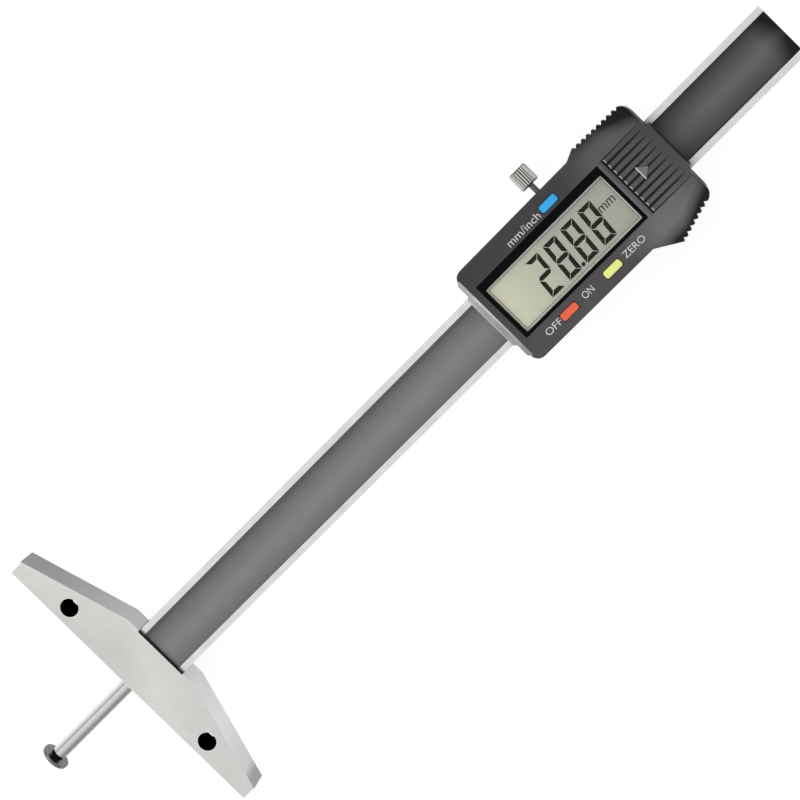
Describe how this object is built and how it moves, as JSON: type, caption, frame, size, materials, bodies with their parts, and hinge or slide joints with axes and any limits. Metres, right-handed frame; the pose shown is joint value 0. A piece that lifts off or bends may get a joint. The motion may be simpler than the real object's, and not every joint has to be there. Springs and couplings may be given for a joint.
{
  "type": "digital depth gauge",
  "caption": "Flat-beam digital depth gauge: bridge base, display slider with buttons, lock screw and battery lid, and a round depth rod with a disc tip that slides through the base.",
  "frame": {"origin": "on the base's measuring face, on the beam's centre line, level with the beam's back face", "axes": "+X from the measuring face up the beam to its free end, +Y towards the lock screw, +Z out of the display"},
  "size_m": [0.2701, 0.0864, 0.0178],
  "materials": {
    "base_steel": "fine satin ground stainless steel",
    "beam_steel": "satin ground stainless steel, brushed along the beam",
    "frame_steel": "satin stainless steel",
    "rod_steel": "polished ground steel",
    "screw_steel": "plain steel",
    "knob_nickel": "satin nickel plate, straight knurl",
    "gib_brass": "milled brass",
    "scale_laminate": "green glass laminate",
    "scale_film": "dark grey satin polyester film",
    "cover_plastic": "dark warm grey moulded plastic, fine satin grain",
    "bezel_black": "black moulded plastic",
    "window_clear": "clear moulded acrylic",
    "lcd_grey_green": "grey-green reflective display",
    "zebra_rubber": "layered conductive elastomer",
    "board_green": "green circuit board",
    "chip_black": "black epoxy",
    "can_metal": "bright metal can",
    "switch_black": "black switch housing",
    "cell_metal": "nickel plated can",
    "contact_brass": "phosphor bronze spring strip",
    "button_blue": "sky blue moulded plastic",
    "button_yellow": "lemon yellow moulded plastic",
    "button_red": "orange red moulded plastic"
  },
  "bodies": {
    "gauge_body": {"base": "base_steel", "base_screws": "screw_steel", "beam": "beam_steel", "scale_strip": "scale_laminate", "scale_film": "scale_film", "end_stop": "beam_steel", "end_stop_screws": "screw_steel"},
    "slider": {"slider_frame": "frame_steel", "gib_strip": "gib_brass", "gib_screws": "screw_steel", "depth_rod": "rod_steel", "rod_disc": "rod_steel", "rod_screws": "screw_steel", "housing_cover": "cover_plastic", "case_screws": "screw_steel", "lcd_bezel": "bezel_black", "lcd_window": "window_clear", "lcd_glass": "lcd_grey_green", "zebra_strips": "zebra_rubber", "circuit_board": "board_green", "chip_blob": "chip_black", "quartz_crystal": "can_metal", "key_switches": "switch_black", "button_cell": "cell_metal", "cell_contact_negative": "contact_brass", "cell_contact_positive": "contact_brass"},
    "lock_screw": {"lock_screw": "knob_nickel"},
    "battery_lid": {"battery_lid": "cover_plastic"},
    "mm_inch_button": {"mm_inch_button": "button_blue"},
    "zero_button": {"zero_button": "button_yellow"},
    "off_on_button": {"off_on_button": "button_red"}
  },
  "joints": [
    {"name": "depth_slide", "type": "slide", "parent": "gauge_body", "child": "slider", "axis": [-1, 0, 0], "range_m": [-0.0325, 0.116]},
    {"name": "lock_turn", "type": "hinge", "parent": "slider", "child": "lock_screw", "pos_m": [0.1697, 0.0167, 0.00175], "axis": [0, 1, 0], "range_deg": [0, 270]},
    {"name": "lid_slide", "type": "slide", "parent": "slider", "child": "battery_lid", "axis": [1, 0, 0], "range_m": [0, 0.012]},
    {"name": "mm_inch_press", "type": "slide", "parent": "slider", "child": "mm_inch_button", "axis": [0, 0, -1], "range_m": [0, 0.0005], "stiffness_N_per_m": 600},
    {"name": "zero_press", "type": "slide", "parent": "slider", "child": "zero_button", "axis": [0, 0, -1], "range_m": [0, 0.0005], "stiffness_N_per_m": 600},
    {"name": "off_on_press", "type": "slide", "parent": "slider", "child": "off_on_button", "axis": [0, 0, -1], "range_m": [0, 0.0005], "stiffness_N_per_m": 600}
  ]
}
